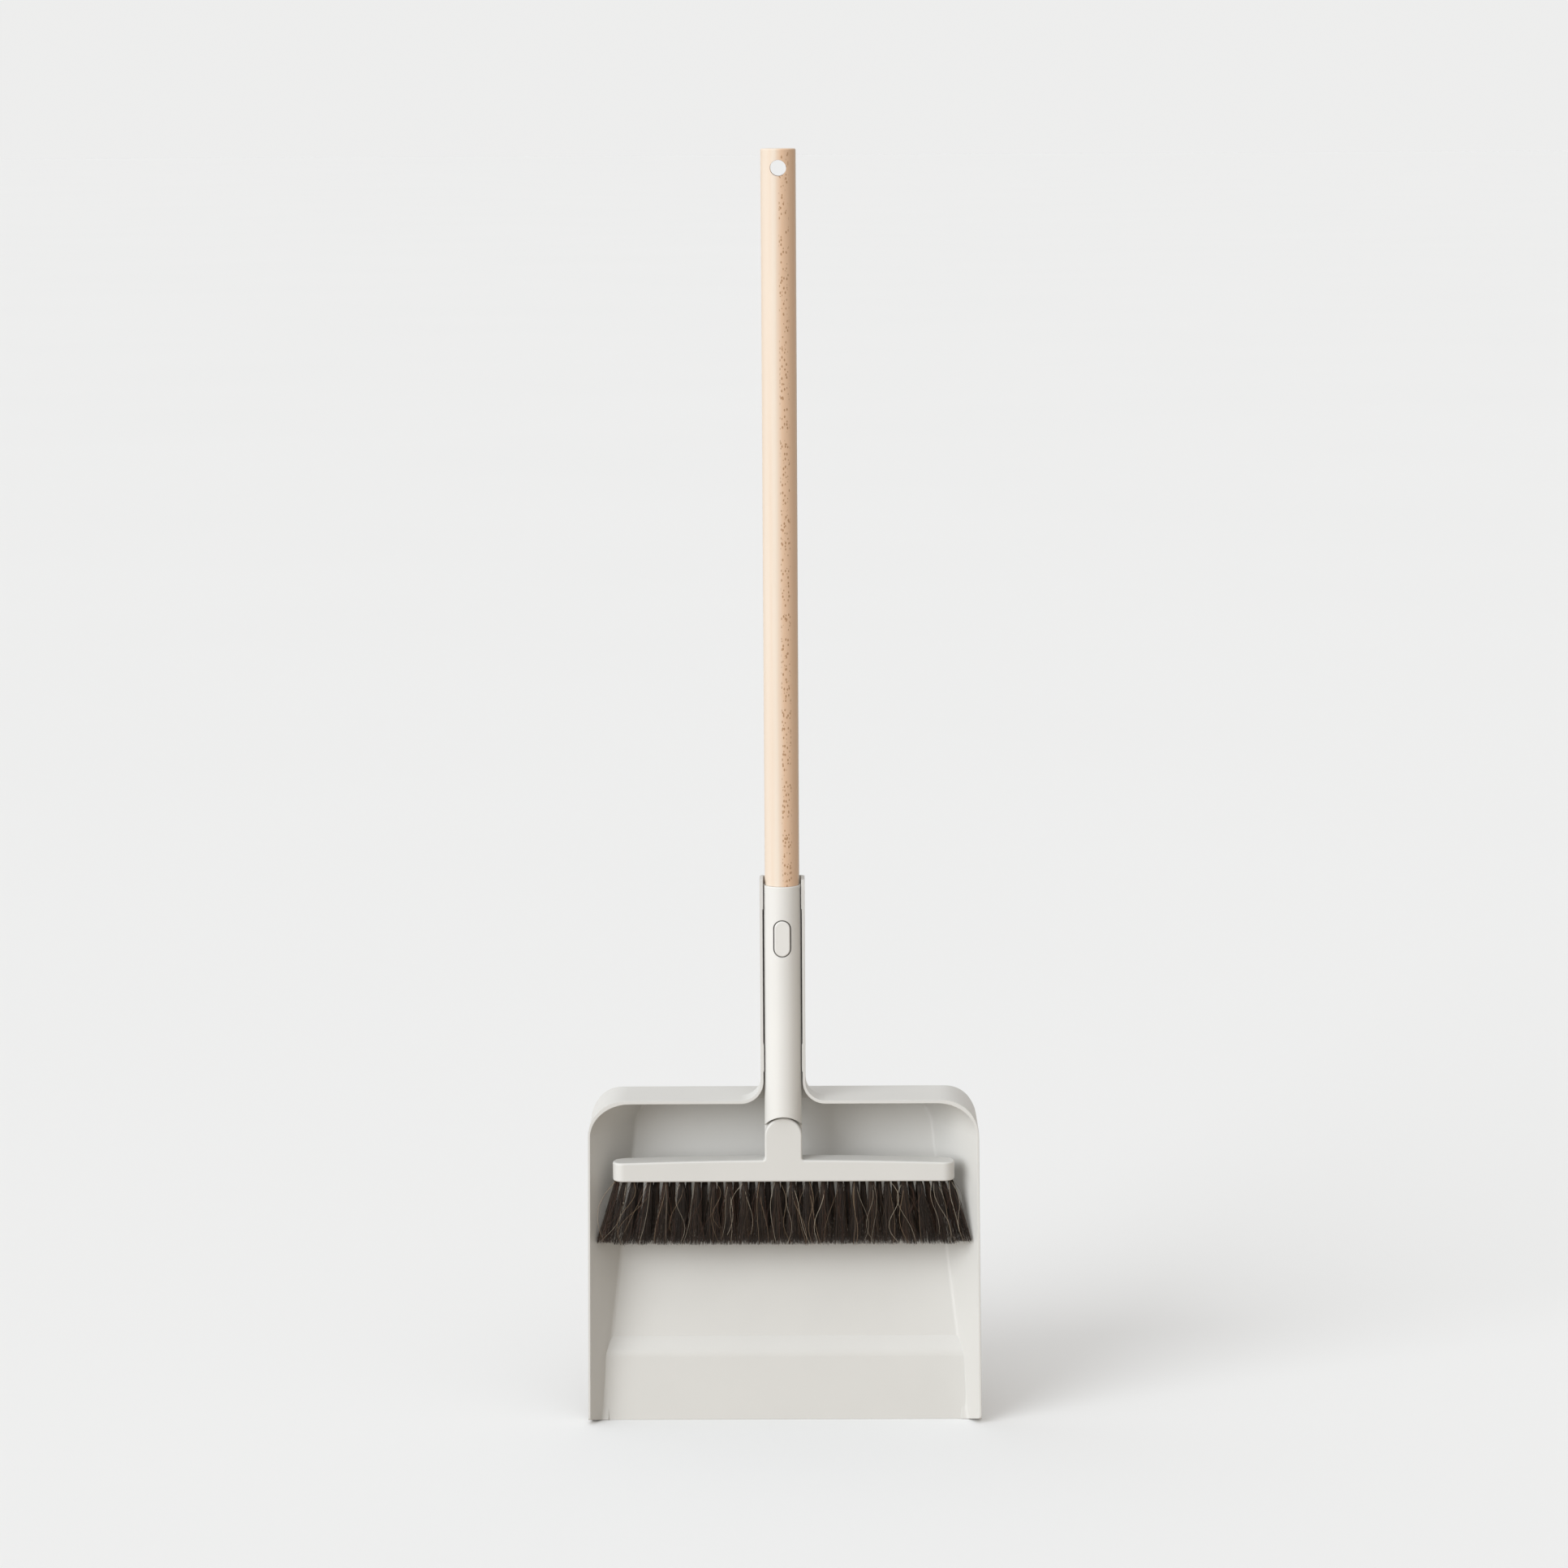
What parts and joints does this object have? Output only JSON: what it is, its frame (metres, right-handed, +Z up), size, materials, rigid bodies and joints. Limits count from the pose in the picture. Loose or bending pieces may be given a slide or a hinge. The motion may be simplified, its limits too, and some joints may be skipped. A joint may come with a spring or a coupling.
{
  "type": "dust pan and brush set",
  "caption": "Long-handled brush with a wooden pole and a swivelling bar of dark bristles, docked by its stem in the channel handle of an upright off-white dust pan.",
  "frame": {"origin": "middle of the set's footprint, on the surface that the pan's lip stands on", "axes": "+Z up along the pole, +Y from the open front of the pan to its back, +X to the right seen from the front"},
  "size_m": [0.256, 0.0564, 0.822],
  "materials": {
    "pan_plastic": "satin",
    "stem_plastic": "satin",
    "adapter_plastic": "matt",
    "beech": "bare, sanded",
    "hair": "matt hair",
    "steel": "plain"
  },
  "bodies": {
    "pan": {"dustpan": "pan_plastic"},
    "broom": {"stem": "stem_plastic", "pole": "beech", "pole_adapter": "adapter_plastic", "pole_pin": "steel", "button_spring": "steel", "friction_disc": "adapter_plastic", "pivot_cap": "stem_plastic"},
    "button": {"release_button": "stem_plastic"},
    "brush": {"brush_head": "stem_plastic", "front_bristles": "hair", "middle_bristles": "hair", "rear_bristles": "hair", "pivot_washer": "steel", "pivot_screw": "steel"}
  },
  "joints": [
    {"name": "broom_release", "type": "slide", "parent": "pan", "child": "broom", "axis": [0, -1, 0], "range_m": [0, 0.1]},
    {"name": "head_swivel", "type": "hinge", "parent": "broom", "child": "brush", "pos_m": [0, -0.01625, 0.193], "axis": [0, 1, 0], "range_deg": [-10, 10], "deforming": ["front_bristles", "middle_bristles", "rear_bristles"]},
    {"name": "button_press", "type": "slide", "parent": "broom", "child": "button", "axis": [0, 1, 0], "range_m": [0, 0.003], "stiffness_N_per_m": 400, "springref_m": -0.005, "deforming": ["button_spring"]}
  ]
}
